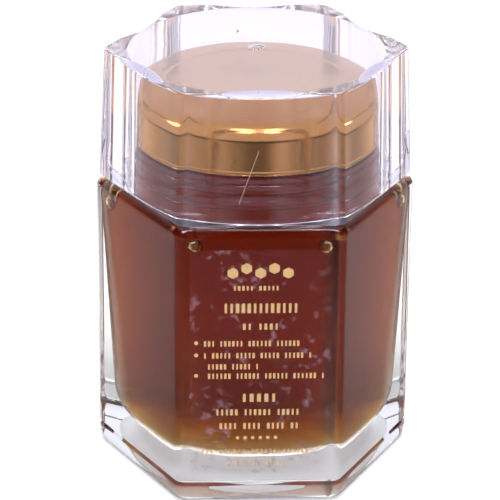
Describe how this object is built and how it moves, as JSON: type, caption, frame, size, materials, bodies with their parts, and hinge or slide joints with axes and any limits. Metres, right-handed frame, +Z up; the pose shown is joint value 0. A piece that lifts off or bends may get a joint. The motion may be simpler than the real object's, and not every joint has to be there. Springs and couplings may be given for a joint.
{
  "type": "honey jar",
  "caption": "Hexagonal clear glass honey jar with a gold twist-off lid, a clear hexagonal over-cap and a clear film label on its front.",
  "frame": {"origin": "centre of the underside of the glass, on the surface that the jar stands on", "axes": "+Z up along the jar's axis, the labelled face looks along -Y, corners of the hexagon on +X and -X"},
  "size_m": [0.0714, 0.0629, 0.0966],
  "materials": {
    "glass": "clear gloss",
    "honey": "dark amber, translucent",
    "gold_lacquer": "gold lacquered tinplate, semi-gloss",
    "clear_plastic": "clear moulded plastic, gloss",
    "label_film": "clear film, satin, with gold print"
  },
  "bodies": {
    "root": {"glass_jar": "glass", "honey": "honey", "twist_lid": "gold_lacquer", "over_cap": "clear_plastic", "label": "label_film"}
  },
  "joints": []
}
